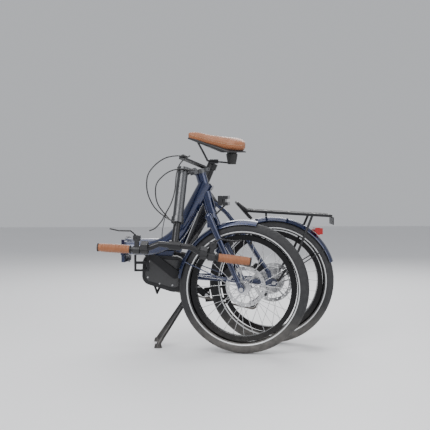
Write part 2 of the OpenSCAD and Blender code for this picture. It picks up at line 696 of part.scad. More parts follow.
module front_hinge() translate([hinge_from_front, 0, 0])
    hinge_half(-1, [[plate_low, knuckle_z[0] - free], [knuckle_z[1] + free, plate_low + plate_h]]);
module main_run(r) {
    rod([hinge_from_front - plate_t + 1, 0, tube_z], [bend_at[0], 0, tube_z], r);
    // The bend laps over the straight runs by a hair, so the three join as one
    arc(bend_at, bend_r, 269.7 - slope, slope + 0.6, r + 0.3);
    start = bend_at + bend_r * [cos(270 - slope), sin(270 - slope)];
    reach = (start[0] - head_top[0] + 24) / cos(slope);
    rod([start[0], 0, start[1]], [start[0] - reach * cos(slope), 0, start[1] + reach * sin(slope)], r);
}
module head_skin(r, a, b) translate([head_top[0], 0, head_top[1]]) rotate([0, head_lean, 0])
    translate([0, 0, a]) cylinder(h = b - a, r = r);
module front_frame_tube() front() {
    color(navy) difference() {
        union() {
            front_hinge();
            latch_lugs();
            difference() {
                main_run(tube_d / 2);
                main_run(tube_d / 2 - tube_wall);
            }
            head_skin(head_d / 2, -head_len - 2, -4);
        }
        head_skin(14.4, -head_len - 20, 20);
        translate(latch_at + [0, 0, -30]) cylinder(h = 60, r = 3.5 + run);
        translate([hinge_from_front, hinge_y, 0]) cylinder(h = 1000, r = hinge_pin_d / 2 + run);
    }
    color(black) for (z = [-head_len - 6, -4]) difference() {
        head_skin(head_d / 2 + 2, z, z + 4);
        head_skin(14.4, z - 10, z + 20);
    }
}
latch_at = [hinge_from_front - 9, 52, tube_z - 4];
module latch_lugs() for (z = [-20, 12]) translate(latch_at + [0, 0, z]) {
    translate([-4, -20, 0]) cube([11, 20, 8]);
    cylinder(h = 8, r = 7);
}
module frame_latch() front() translate(latch_at) color(black) {
    translate([0, 0, -22]) cylinder(h = 44, r = 3.5);
    translate([0, 0, -11.5]) cylinder(h = 23, r = 7);
    difference() {
        translate([-96, 0, -9]) cube([96, 8, 18]);
        translate([-80, 4, -5]) cube([60, 9, 10]);
    }
    translate([0, -4, -8]) cube([12, 9, 16]);
}

// ---- Fork and what it carries ----

crown = [head_low[0] + 2, axle_z + wheel_r + 24];
module fork_blades(gap) {
    both() taper([crown[0], fork_y - 2, crown[1]], [6, fork_y + 6, axle_z + 10], 13.5 + gap, 9 + gap);
    both() translate([crown[0], fork_y - 2, crown[1]]) sphere(13.5 + gap);
    rod([crown[0], -fork_y + 2, crown[1]], [crown[0], fork_y - 2, crown[1]], 13.5 + gap);
    head_skin(19 + gap, -head_len - 24, -head_len - 6.3);
}
module fork() front() color(navy) difference() {
    union() {
        difference() {
            fork_blades(0);
            head_skin(head_d / 2 + 4, -head_len - 6.3, 0);
        }
        head_skin(14.3, -head_len - 24, 3);
        both() plate(fork_y + 5, 6) hull() {
            translate(rear_axle) circle(12, $fn = 32);
            translate(rear_axle + [6, 14]) circle(9, $fn = 32);
        }
    }
    across(rear_axle, 0, 300, 5 + run);
    head_skin(11.5, -head_len, 20);
}
module front_fender() front() {
    color(navy) translate([0, 0, axle_z]) fender_shape(8, 102);
    color(black) translate([0, 0, axle_z]) stay_to_fender([[2, fork_y + 17.8, 24], [100, fork_y + 13, 50]], 24);
    color(black) difference() {
        translate([crown[0] - 26, -9, crown[1] - 46]) cube([40, 18, 34]);
        across(rear_axle, 0, 100, fender_r + 2.3);
        fork_blades(0.1);
    }
}
lamp = [76, axle_z + 342];
module headlight() front() {
    color(black) difference() {
        translate([lamp[0] - 16, -24, lamp[1] - 18]) cube([40, 48, 38]);
        translate([lamp[0] - 20, -30, lamp[1] - 5]) cube([26, 60, 12]);
    }
    color("whitesmoke") translate([lamp[0] - 5, -20, lamp[1] - 4.5]) cube([10, 40, 11]);
    color(black) difference() {
        rod([lamp[0] - 2, 0, lamp[1] - 16], [crown[0] - 13, 0, crown[1]], 3.5);
        fork_blades(0.1);
        head_skin(head_d / 2 + 2.6, -head_len - 6.6, 0);
    }
}
module front_caliper() front() difference() {
    translate([62, 0, axle_z + 60]) rotate([0, 42, 0]) mirror([1, 0, 0]) caliper_shape();
    fork_blades(0.1);
}
module handlepost_base() steer() color(charcoal) {
    difference() {
        union() {
            cylinder(h = post_h - free / 2, r = 25);
            rotate([0, 0, post_turn]) {
                translate([0, -13, 2]) cube([post_off, 26, post_h - 2 - free / 2]);
                for (y = [-15, 8.3]) translate([lever_at[0], y, 3]) cube([20, 6.7, 13]);
                for (y = [-11.65, 11.65]) translate([lever_at[0], y, lever_at[2]]) rotate([90, 0, 0])
                    cylinder(h = 6.7, r = 7, center = true);
                translate([post_off, 0, post_h]) rotate([90, 0, 0]) cylinder(h = 26, r = 9, center = true);
            }
        }
        translate([0, 0, -1]) cylinder(h = 5, r = 14.4);
        rotate([0, 0, post_turn]) translate([-45, -8.25, -1]) cube([27, 16.5, 30]);
        rotate([0, 0, post_turn]) translate(lever_at) rotate([90, 0, 0]) cylinder(h = 60, r = 3.5 + run, center = true);
        rotate([0, 0, post_turn]) translate([post_off, 0, post_h]) rotate([90, 0, 0]) cylinder(h = 70, r = 4 + run, center = true);
        rotate([0, 0, post_turn]) translate([-30, -40, post_h - free / 2]) cube([60, 80, 20]);
    }
}
lever_at = [-33, 0, 9];
lever_rise = 30;
module handlepost_lever() steer() rotate([0, 0, post_turn]) translate(lever_at) color(black) {
    rotate([90, 0, 0]) cylinder(h = 30, r = 3.5, center = true);
    difference() {
        rotate([0, -lever_rise, 0]) translate([13, -10, 3]) cube([107, 20, 8]);
        rotate([0, -lever_rise, 0]) translate([20, -5, 7]) cube([80, 10, 9]);
    }
    rotate([0, -lever_rise, 0]) {
        translate([-6, -8, -5]) cube([14, 16, 15]);
        translate([6, -8, 3]) cube([10, 16, 8]);
        translate([108, -12, 3]) cube([20, 24, 15]);
    }
}
module front_wheel_at() front() translate([0, 0, axle_z]) children();
module front_tyre() front_wheel_at() tyre_shape();
module front_rim() front_wheel_at() rim_shape();
module front_spokes() front_wheel_at() spoke_set(24, 25);
module front_hub() front_wheel_at() hub_shape(24, 25, 31, fork_y + 18);
module front_rotor() front_wheel_at() { rotor_shape(); rear_carrier(); }

// ---- Handlepost and handlebar, drawn upright in the steering frame ----

module handlepost() post() color(charcoal) {
    top = bar_z - 92;
    difference() {
        union() {
            translate([0, 0, post_h + free / 2]) cylinder(h = 14, r = 25);
            translate([0, 0, post_h + 10]) cylinder(h = top - post_h - 10, r = post_d / 2);
            translate([0, 0, top - 20]) cylinder(h = 22, r = post_d / 2 + 4);
            rotate([0, 0, post_turn]) for (s = [-1, 1]) {
                translate([0, s > 0 ? 13.4 : -24.4, post_h + free / 2]) cube([post_off, 11, 12]);
                translate([post_off, s * 18.9, post_h]) rotate([90, 0, 0]) cylinder(h = 11, r = 9, center = true);
            }
        }
        translate([0, 0, post_h + 20]) cylinder(h = 500, r = stem_d / 2 + run);
        rotate([0, 0, post_turn]) translate([-30, -40, 0]) cube([55, 80, post_h + free / 2]);
    }
    color(silver) rotate([0, 0, post_turn]) translate([post_off, 0, post_h]) rotate([90, 0, 0]) cylinder(h = 52, r = 4, center = true);
}
module bar_shape(r) {
    z1 = bar_z + bar_rise;
    slant = (bar_sweep - 4) / (bar_w / 2 - 120);
    both() pipe([[0, 0, bar_z], [0, 60, bar_z], [4, 120, z1], [bar_sweep - 3 * slant, bar_w / 2 - 3, z1]], r);
}
module handlebar() post() {
    color(black) {
        translate([0, 0, bar_z - 200]) cylinder(h = 190, r = stem_d / 2);
        difference() {
            rod([0, -22, bar_z], [0, 22, bar_z], bar_d / 2 + 7);
            rod([0, -30, bar_z], [0, 30, bar_z], bar_d / 2 + 0.02);
        }
        bar_shape(bar_d / 2);
    }
}
module grip_at(side) post() translate([bar_sweep, side * (bar_w / 2), bar_z + bar_rise])
    rotate([0, 0, -side * atan((bar_sweep - 4) / (bar_w / 2 - 120))]) children();
lever_down = 62;
module grips() for (s = [-1, 1]) grip_at(s) color(tan_leather) rotate([s * 90, 0, 0]) difference() {
    cylinder(h = grip_len, r = grip_d / 2);
    translate([0, 0, 2.9]) cylinder(h = 200, r = bar_d / 2 + 0.02);
}
lever_root = grip_len + 24;
module controls() color(black) difference() {
    for (s = [-1, 1]) grip_at(s) control_side(s);
    post() bar_shape(bar_d / 2 + 0.02);
}
module control_side(s) difference() {
    union() {
        translate([0, -s * lever_root, 0]) rotate([90, 0, 0]) cylinder(h = 26, r = bar_d / 2 + 5, center = true);
        rotate([0, -lever_down, 0]) translate([-46, -s * lever_root - 8, -8]) cube([40, 16, 16]);
        rotate([0, -lever_down, 0]) translate([-56, -s * lever_root - 14, -7]) cube([20, 28, 14]);
        translate([0, -s * (lever_root + 32), 0]) rotate([90, 0, 0]) cylinder(h = 26, r = bar_d / 2 + 4, center = true);
        rotate([0, -lever_down + 20, 0]) translate([-34, -s * (lever_root + 32) - 13, -14]) cube([24, 26, 30]);
    }
    translate([0, -s * lever_root, 0]) rotate([90, 0, 0]) cylinder(h = 200, r = bar_d / 2 + 0.02, center = true);
    rotate([0, -lever_down, 0]) {
        translate([-48, -s * lever_root, 0]) cylinder(h = 60, r = 3 + run, center = true);
        translate([-70, -s * lever_root - 20, -3.5]) cube([32, 40, 7]);
    }
}
module brake_lever(side) grip_at(side) rotate([0, -lever_down, 0]) color(black) {
    translate([-48, -side * lever_root, 0]) cylinder(h = 13, r = 3, center = true);
    translate([-48, -side * lever_root, 0]) cylinder(h = 6, r = 6, center = true);
    pipe([[-53, -side * lever_root, 0], [-72, -side * (lever_root - 24), 0], [-70, -side * (lever_root - 70), 0],
        [-76, -side * (lever_root - 106), 0]], 2.9);
}
module left_brake_lever() brake_lever(-1);
module right_brake_lever() brake_lever(1);

// ---- Cables ----

cable_r = 2.5;
// Routes of the free loops, on the folded bike, measured from the rear half's origin
shift_loop = [[-352, -255, 772], [-395, -265, 776], [-440, -280, 768], [-480, -292, 742], [-508, -302, 705],
    [-514, -310, 662], [-506, -316, 620], [-482, -322, 576], [-440, -334, 540], [-405, -351, 523]];
gear_loop = [[-331, -266, 719], [-381, -287, 725], [-420, -284, 718], [-452, -296, 698], [-476, -304, 668],
    [-480, -310, 628], [-470, -316, 588], [-440, -323, 548], [-405, -351, 515]];
brake_hose = [[-505, -340, 490], [-482, -338, 500], [-458, -334, 526], [-446, -330, 548], [-420, -322, 596],
    [-406, -308, 644], [-400, -294, 700], [-390, -280, 736], [-372, -266, 760], [-346, -254, 776]];
thin_lead = [[-456, -340, 458], [-454, -338, 492], [-444, -335, 542], [-432, -330, 574]];
function catmull(p0, p1, p2, p3, t) = 0.5 * ((2 * p1) + (p2 - p0) * t + (2 * p0 - 5 * p1 + 4 * p2 - p3) * t * t
    + (3 * p1 - p0 - 3 * p2 + p3) * t * t * t);
function smooth(pts, n) = let (m = len(pts)) concat([for (i = [0 : m - 2]) for (k = [0 : n - 1])
    catmull(pts[max(i - 1, 0)], pts[i], pts[i + 1], pts[min(i + 2, m - 1)], k / n)], [pts[m - 1]]);
function unit(v) = v / norm(v);
module cable(route, r, n) {
    pts = smooth(route, n);
    m = len(pts);
    sides = 8;
    ring = [for (i = [0 : m - 1]) let (
        t = unit(pts[min(i + 1, m - 1)] - pts[max(i - 1, 0)]),
        a = unit(cross(t, [0, 1, 0.1])),
        b = cross(t, a))
        for (k = [0 : sides - 1]) pts[i] + r * (cos(k * 360 / sides) * a + sin(k * 360 / sides) * b)];
    walls = [for (i = [0 : m - 2]) for (k = [0 : sides - 1]) let (
        j = (k + 1) % sides)
        [i * sides + k, (i + 1) * sides + k, (i + 1) * sides + j, i * sides + j]];
    ends = [[for (k = [0 : sides - 1]) k], [for (k = [sides - 1 : -1 : 0]) (m - 1) * sides + k]];
    polyhedron(ring, concat(walls, ends));
}
module cables() rear() color(black) {
    cable(shift_loop, cable_r, 2);
    cable(gear_loop, cable_r, 2);
    cable(brake_hose, cable_r, 2);
    cable(thin_lead, 1.5, 2);
}

rear_frame_tube();
seat_tube();
chainstays();
seat_stays();
hinge_pin();
motor_housing();
motor_cover();
battery();
foot_bracket();
kickstand_bracket();
rear_fender();
fender_stays();
rack();
rack_plate();
tail_light();
seat_clamp();
rear_caliper();
derailleur_body();
chain();
kickstand();
derailleur_cage();
seat_clamp_lever();
seatpost();
saddle_clamp();
elastomer();
saddle_base();
saddle_cover();
rear_tyre();
rear_rim();
rear_spokes();
rear_hub();
rear_rotor();
cassette();
chainring();
left_crank();
right_crank();
left_pedal_axle();
left_pedal();
right_pedal_axle();
right_pedal();
front_frame_tube();
frame_latch();
fork();
front_fender();
headlight();
front_caliper();
handlepost_base();
front_tyre();
front_rim();
front_spokes();
front_hub();
front_rotor();
handlepost();
handlepost_lever();
handlebar();
grips();
controls();
left_brake_lever();
right_brake_lever();
cables();
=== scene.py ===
"""Folding bicycle: its visible surfaces and finishes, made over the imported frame.

Each shape is a function of two parameters on a numpy grid, or a profile carried along a path.
Lengths inside a shape are millimetres along a Place's own axes, and Place.row() gives metres in the frame.
"""

import json

import bmesh
import bpy
import numpy as np
from bpy.props import FloatProperty, FloatVectorProperty, IntProperty, PointerProperty
from mathutils import Matrix, Vector


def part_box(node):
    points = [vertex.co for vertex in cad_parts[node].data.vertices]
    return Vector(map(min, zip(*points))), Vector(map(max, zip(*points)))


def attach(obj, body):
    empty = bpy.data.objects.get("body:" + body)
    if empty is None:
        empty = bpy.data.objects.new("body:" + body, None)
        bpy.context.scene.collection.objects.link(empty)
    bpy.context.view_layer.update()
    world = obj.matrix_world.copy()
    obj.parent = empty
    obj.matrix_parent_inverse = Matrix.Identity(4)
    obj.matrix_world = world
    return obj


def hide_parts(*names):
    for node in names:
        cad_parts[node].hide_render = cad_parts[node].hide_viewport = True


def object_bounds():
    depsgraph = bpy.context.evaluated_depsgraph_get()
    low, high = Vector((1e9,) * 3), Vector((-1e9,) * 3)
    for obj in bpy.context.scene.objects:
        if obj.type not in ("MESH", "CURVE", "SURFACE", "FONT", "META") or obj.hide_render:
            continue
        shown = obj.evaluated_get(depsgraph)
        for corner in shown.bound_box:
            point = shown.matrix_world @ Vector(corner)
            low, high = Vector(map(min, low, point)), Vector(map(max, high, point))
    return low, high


bl_info = {
    "name": "Folding bicycle",
    "version": (1, 0, 0),
    "blender": (4, 5, 0),
    "location": "View3D > Sidebar > Bicycle",
    "description": "Surfaces and finishes for a folding bicycle with a centre motor",
    "category": "Object",
}

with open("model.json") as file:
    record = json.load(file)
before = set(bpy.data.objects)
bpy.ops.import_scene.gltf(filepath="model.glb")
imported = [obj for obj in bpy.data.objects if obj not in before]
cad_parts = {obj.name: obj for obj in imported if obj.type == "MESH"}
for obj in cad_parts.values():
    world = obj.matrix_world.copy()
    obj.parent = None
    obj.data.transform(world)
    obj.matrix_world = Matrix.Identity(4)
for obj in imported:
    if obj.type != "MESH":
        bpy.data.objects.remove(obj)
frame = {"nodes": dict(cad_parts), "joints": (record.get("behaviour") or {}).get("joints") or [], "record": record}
CAD_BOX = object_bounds()
NODES = frame["nodes"]
JOINTS = {joint["name"]: joint for joint in frame["joints"]}
MM = 0.001
FULL_TURN = 2 * np.pi


# ---- Places ----


def unit(vector):
    """The vector, or each row of vectors, at length one."""
    vector = np.asarray(vector, float)
    return vector / np.linalg.norm(vector, axis=-1, keepdims=True)


def rotation(axis, degrees):
    """The 3x3 turn about one of the axes 0, 1 or 2, by the right-hand rule."""
    c, s = np.cos(np.radians(degrees)), np.sin(np.radians(degrees))
    i, j = [(1, 2), (2, 0), (0, 1)][axis]
    turn = np.eye(3)
    turn[i, i], turn[i, j], turn[j, i], turn[j, j] = c, -s, s, c
    return turn


class Place:
    """A spot on the bicycle with its own x, y and z, for points in millimetres."""

    def __init__(self, origin, x, y):
        self.origin = np.asarray(origin, float)
        self.axes = np.stack([unit(x), unit(y), unit(np.cross(x, y))])

    def row(self, points):
        """Points along this place's axes, in the frame's metres."""
        return self.origin + MM * np.asarray(points, float) @ self.axes

    def at(self, x=0.0, y=0.0, z=0.0, axis=0, degrees=0.0):
        """A place further on, then turned about one of its own axes."""
        axes = rotation(axis, degrees).T @ self.axes
        return Place(self.row([x, y, z]), axes[0], axes[1])


def joint_place(name):
    """Where a joint is, in metres."""
    return np.array(JOINTS[name]["pos_m"])


def joint_axis(name):
    """The way a joint points."""
    return unit(JOINTS[name]["axis"])


UP = np.array([0.0, 0.0, 1.0])
REAR_WHEEL = Place(joint_place("rear_wheel_spin"), [1, 0, 0], [0, 1, 0])
_front_y = joint_axis("front_wheel_spin")
FRONT_WHEEL = Place(joint_place("front_wheel_spin"), np.cross(_front_y, UP), _front_y)
CRANKS = Place(joint_place("crank_spin"), [1, 0, 0], [0, 1, 0])
WHEELS = {"rear": REAR_WHEEL, "front": FRONT_WHEEL}

# The handlepost in its folded place: its own axis, and the hinge it turns on
HINGE_TO_POST = (40.5, 17.5)
HINGE_TURN = 51.0
BAR_HEIGHT = 330.5
BAR_RISE = 29.0
BAR_HALF = 294.0
BAR_SWEEP = 23.5
BEND_OUT = 120.0
_post_z = unit(JOINTS["handlepost_slide"]["axis"])
_hinge_y = -joint_axis("handlepost_fold")
_hinge_x = np.cross(_hinge_y, _post_z)
_foot = joint_place("handlepost_fold") - MM * (HINGE_TO_POST[0] * _hinge_x + HINGE_TO_POST[1] * _post_z)
POST = Place(_foot, _hinge_x, _hinge_y).at(axis=2, degrees=-HINGE_TURN)


def grip_place(side):
    """The end of one grip, with y along the bar towards the rider's right."""
    slant = np.degrees(np.arctan((BAR_SWEEP - 4) / (BAR_HALF - BEND_OUT)))
    return POST.at(BAR_SWEEP, side * BAR_HALF, BAR_HEIGHT + BAR_RISE, axis=2, degrees=-side * slant)


_seat_z = unit(JOINTS["seatpost_slide"]["axis"])
SEAT = Place(REAR_WHEEL.row([-276, 0, 410]), np.cross([0, 1, 0], _seat_z), [0, 1, 0])
SADDLE = Place(SEAT.row([0, 0, 92]), [1, 0, 0], [0, 1, 0])
TYRE_RADIUS = 258.0
TYRE_WIDTH = 54.0
TYRE_WALL = 4.5
ROTOR_SIDE = -44.0


# ---- Surfaces ----


class Shape:
    """Collects closed surfaces and builds them as one mesh with its faces outwards."""

    def __init__(self):
        self.points, self.faces, self.count = [], [], 0

    def add(self, points, faces):
        """Points in metres, with faces that number them from zero."""
        self.points.append(np.asarray(points, float).reshape(-1, 3))
        self.faces += [[corner + self.count for corner in face] for face in faces]
        self.count += len(self.points[-1])
        return self

    def grid(self, points, wrap_rows=False, wrap_columns=True, caps=True):
        """A surface through a grid of points: each quad joins four neighbours, and flat ends close it."""
        rows, columns = points.shape[:2]
        r = np.arange(rows if wrap_rows else rows - 1)[:, None]
        c = np.arange(columns if wrap_columns else columns - 1)[None, :]
        next_r, next_c = (r + 1) % rows, (c + 1) % columns
        quads = np.stack(
            [r * columns + c, next_r * columns + c, next_r * columns + next_c, r * columns + next_c], axis=-1
        )
        faces = quads.reshape(-1, 4).tolist()
        if caps and not wrap_rows:
            last = (rows - 1) * columns
            faces += [list(range(columns)), list(range(last + columns - 1, last - 1, -1))]
        return self.add(points, faces)

    def repeat(self, points, faces, origins, axes):
        """The same small solid at many places: each copy is its origin plus its points along its axes."""
        copies = origins[:, None, :] + np.einsum("pk,nkj->npj", points, axes)
        faces = np.asarray(faces)
        numbers = faces[None] + (np.arange(len(origins)) * len(points))[:, None, None]
        return self.add(copies, numbers.reshape(-1, faces.shape[1]).tolist())

    def build(self, name, sharp=38):
        """The mesh object: doubles merged, faces turned outwards, and edges sharper than an angle kept."""
        mesh = bpy.data.meshes.new(name)
        mesh.from_pydata(np.concatenate(self.points), [], self.faces)
        tidy = bmesh.new()
        tidy.from_mesh(mesh)
        bmesh.ops.remove_doubles(tidy, verts=tidy.verts, dist=1e-6)
        bmesh.ops.recalc_face_normals(tidy, faces=tidy.faces)
        tidy.to_mesh(mesh)
        tidy.free()
        mesh.polygons.foreach_set("use_smooth", np.ones(len(mesh.polygons), bool))
        mesh.set_sharp_from_angle(angle=np.radians(sharp))
        piece = bpy.data.objects.new(name, mesh)
        bpy.context.scene.collection.objects.link(piece)
        return piece


def oval(across, high, count=24):
    """A closed outline: x = across * cos a, y = high * sin a."""
    a = np.linspace(0, FULL_TURN, count, endpoint=False)
    return np.stack([across * np.cos(a), high * np.sin(a)], axis=-1)


def smooth_path(points, per_span=8):
    """A curve through the points: each span is the cubic whose ends point along their neighbours' chord."""
    p = np.asarray(points, float)
    p = np.concatenate([p[:1], p, p[-1:]])
    t = np.arange(per_span)[None, :, None] / per_span
    a, b, c, d = (p[i : len(p) - 3 + i, None, :] for i in range(4))
    spans = 0.5 * (2 * b + (c - a) * t + (2 * a - 5 * b + 4 * c - d) * t**2 + (3 * b - a - 3 * c + d) * t**3)
    return np.concatenate([spans.reshape(-1, p.shape[1]), p[-1:]])


def carried(path, profile, up=(0.0, 1.0, 0.1)):
    """A profile carried along a path: each point is the path's plus x across it and y along its upright."""
    tangent = unit(np.gradient(path, axis=0))
    side = unit(np.cross(tangent, up))
    rise = np.cross(side, tangent)
    profile = np.broadcast_to(profile, (len(path),) + np.shape(profile)[-2:])
    return path[:, None] + profile[..., :1] * side[:, None] + profile[..., 1:] * rise[:, None]


def turned(profile, count=96):
    """A profile of [radius, along] turned about y: x = r cos a, y = along, z = r sin a."""
    a = np.radians(np.linspace(0, 360, count, endpoint=False))
    profile = np.broadcast_to(profile, (count,) + np.shape(profile)[-2:])
    return np.stack(
        [profile[..., 0] * np.cos(a)[:, None], profile[..., 1], profile[..., 0] * np.sin(a)[:, None]], axis=-1
    )


def screw(shape, place, radius=4.0, height=4.0, sides=12):
    """A cap screw: a turned profile with a rounded rim and a socket sunk in its head, along -y."""
    h, r = height, radius
    profile = [[r, 0], [r, -h + 0.8], [r - 0.8, -h], [r * 0.55, -h], [r * 0.5, -h + 1.6], [0.01, -h + 1.6]]
    grid = turned(np.array(profile), sides)
    grid = np.concatenate([np.broadcast_to([[[0.0, 0.0, 0.0]]], (sides, 1, 3)), grid], axis=1)
    return shape.grid(place.row(grid), wrap_rows=True, wrap_columns=False, caps=False)


def set_piece(piece, body, slot, finish, *replaced):
    """Gives a piece its finish and its body, and hides the plain solids it stands for; its slot is not used."""
    piece.data.materials.clear()
    piece.data.materials.append(finish)
    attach(piece, body)
    if replaced:
        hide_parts(*replaced)
    return piece


# ---- Finishes ----


def new_group(name, inputs, outputs):
    """An empty shader group with number inputs [name, default] and outputs [name, socket type]."""
    group = bpy.data.node_groups.new(name, "ShaderNodeTree")
    for label, default in inputs:
        socket = group.interface.new_socket(label, in_out="INPUT", socket_type="NodeSocketFloat")
        socket.default_value = default
    for label, kind in outputs:
        group.interface.new_socket(label, in_out="OUTPUT", socket_type=kind)
    return group, group.nodes.new("NodeGroupInput"), group.nodes.new("NodeGroupOutput")


def add_node(tree, kind, settings=(), links=()):
    """A node with its settings made and its inputs linked or filled."""
    node = tree.nodes.new(kind)
    for key, value in dict(settings).items():
        setattr(node, key, value)
    for socket, source in dict(links).items():
        if isinstance(source, bpy.types.NodeSocket):
            tree.links.new(source, node.inputs[socket])
        else:
            node.inputs[socket].default_value = source
    return node


def maths(tree, operation, a, b=0.5):
    """One sum on two values."""
    return add_node(tree, "ShaderNodeMath", {"operation": operation}, {0: a, 1: b}).outputs[0]


def noise(tree, place, scale, detail=3.0):
    """Cloudy noise at a scale."""
    return add_node(
        tree, "ShaderNodeTexNoise", links={"Vector": place, "Scale": scale, "Detail": detail}
    ).outputs["Fac"]


def cells(tree, place, scale):
    """Distance to the nearest cell point."""
    return add_node(tree, "ShaderNodeTexVoronoi", links={"Vector": place, "Scale": scale}).outputs["Distance"]


def make_grain():
    """Fine pebbled relief with a slow change of tone."""
    tree, given, out = new_group(
        "Fine Grain",
        [("Scale", 400.0), ("Pebble", 0.5)],
        [("Height", "NodeSocketFloat"), ("Tone", "NodeSocketFloat")],
    )
    place = add_node(tree, "ShaderNodeTexCoord").outputs["Object"]
    fine = noise(tree, place, given.outputs["Scale"])
    pebble = cells(tree, place, given.outputs["Scale"])
    mixed = maths(tree, "ADD", fine, maths(tree, "MULTIPLY", pebble, given.outputs["Pebble"]))
    tree.links.new(mixed, out.inputs["Height"])
    slow = maths(tree, "MULTIPLY", given.outputs["Scale"], 0.04)
    tree.links.new(noise(tree, place, slow, 5.0), out.inputs["Tone"])
    return tree


def make_scuffs():
    """Sparse short scratches: stretched noise, kept only where it peaks."""
    tree, given, out = new_group("Scuffs", [("Scale", 60.0), ("Amount", 0.2)], [("Mask", "NodeSocketFloat")])
    place = add_node(tree, "ShaderNodeTexCoord").outputs["Object"]
    long_way = add_node(
        tree, "ShaderNodeMapping", links={"Vector": place, "Scale": (1.0, 1.0, 7.0)}
    ).outputs[0]
    peaks = maths(tree, "SUBTRACT", noise(tree, long_way, given.outputs["Scale"], 6.0), 0.62)
    clear = add_node(tree, "ShaderNodeMath", {"operation": "MULTIPLY", "use_clamp": True}, {0: peaks, 1: 9.0})
    tree.links.new(maths(tree, "MULTIPLY", clear.outputs[0], given.outputs["Amount"]), out.inputs["Mask"])
    return tree


def make_dust():
    """Pale road dust that fades out above a height, broken up by noise."""
    tree, given, out = new_group("Road Dust", [("Top", 0.1), ("Amount", 0.3)], [("Mask", "NodeSocketFloat")])
    place = add_node(tree, "ShaderNodeTexCoord").outputs["Object"]
    height = add_node(tree, "ShaderNodeSeparateXYZ", links={0: place}).outputs["Z"]
    near = add_node(
        tree,
        "ShaderNodeMath",
        {"operation": "SUBTRACT", "use_clamp": True},
        {0: 1.0, 1: maths(tree, "DIVIDE", height, given.outputs["Top"])},
    ).outputs[0]
    broken = maths(tree, "MULTIPLY", near, noise(tree, place, 45.0, 6.0))
    tree.links.new(maths(tree, "MULTIPLY", broken, given.outputs["Amount"]), out.inputs["Mask"])
    return tree


GROUP_MAKERS = {"Fine Grain": make_grain, "Scuffs": make_scuffs, "Road Dust": make_dust}
GROUPS = {}


def placed_group(tree, name, **values):
    """One of the shared groups, placed in a material with its own values."""
    if name not in GROUPS:
        GROUPS[name] = GROUP_MAKERS[name]()
    node = tree.nodes.new("ShaderNodeGroup")
    node.node_tree = GROUPS[name]
    for label, value in values.items():
        node.inputs[label].default_value = value
    return node


def blended(tree, factor, first, second):
    """A colour part of the way from the first to the second."""
    node = add_node(tree, "ShaderNodeMix", {"data_type": "RGBA"})
    tree.links.new(factor, node.inputs["Factor"])
    for socket, value in ((node.inputs[6], first), (node.inputs[7], second)):
        if isinstance(value, bpy.types.NodeSocket):
            tree.links.new(value, socket)
        else:
            socket.default_value = (*value[:3], 1.0)
    return node.outputs[2]


def finish(
    name, colour, rough=(0.4, 0.5), metallic=0.0, grain=400.0, pebble=0.5, relief=0.00004,
    tone=0.2, scuffs=0.0, scuff_colour=(0.5, 0.5, 0.5), dust=0.0, flakes=None, **sockets,
):
    """A finish: its colour shifts with the grain's slow tone, scuffs and dust lie over it, the tone moves its
    roughness between two limits, and the grain's height bumps it. Flakes are bright cells in paint."""
    material = bpy.data.materials.new(name)
    material.use_nodes = True
    tree = material.node_tree
    shader = tree.nodes["Principled BSDF"]
    grit = placed_group(tree, "Fine Grain", Scale=grain, Pebble=pebble)
    shade = blended(tree, grit.outputs["Tone"], colour, [c * (1 - tone) for c in colour[:3]])
    place = add_node(tree, "ShaderNodeTexCoord").outputs["Object"]
    if flakes:
        spark = add_node(
            tree, "ShaderNodeTexVoronoi", links={"Vector": place, "Scale": 2600.0, "Randomness": 1.0}
        ).outputs["Color"]
        bright = maths(tree, "GREATER_THAN", spark, 0.72)
        shade = blended(tree, maths(tree, "MULTIPLY", bright, 0.35), shade, flakes)
    if scuffs:
        worn = placed_group(tree, "Scuffs", Scale=70.0, Amount=scuffs)
        shade = blended(tree, worn.outputs["Mask"], shade, scuff_colour)
    if dust:
        dusty = placed_group(tree, "Road Dust", Top=0.16, Amount=dust)
        shade = blended(tree, dusty.outputs["Mask"], shade, (0.42, 0.39, 0.35))
    tree.links.new(shade, shader.inputs["Base Color"])
    spread = add_node(
        tree,
        "ShaderNodeMapRange",
        links={
            "Value": grit.outputs["Tone"], "From Min": 0.3, "From Max": 0.7,
            "To Min": rough[0], "To Max": rough[1],
        },
    )
    tree.links.new(spread.outputs[0], shader.inputs["Roughness"])
    bump = add_node(
        tree, "ShaderNodeBump", links={"Strength": 0.6, "Distance": relief, "Height": grit.outputs["Height"]}
    )
    tree.links.new(bump.outputs["Normal"], shader.inputs["Normal"])
    shader.inputs["Metallic"].default_value = metallic
    for label, value in sockets.items():
        shader.inputs[label.replace("_", " ").title().replace("Ior", "IOR")].default_value = value
    return material


FINISHES = {}


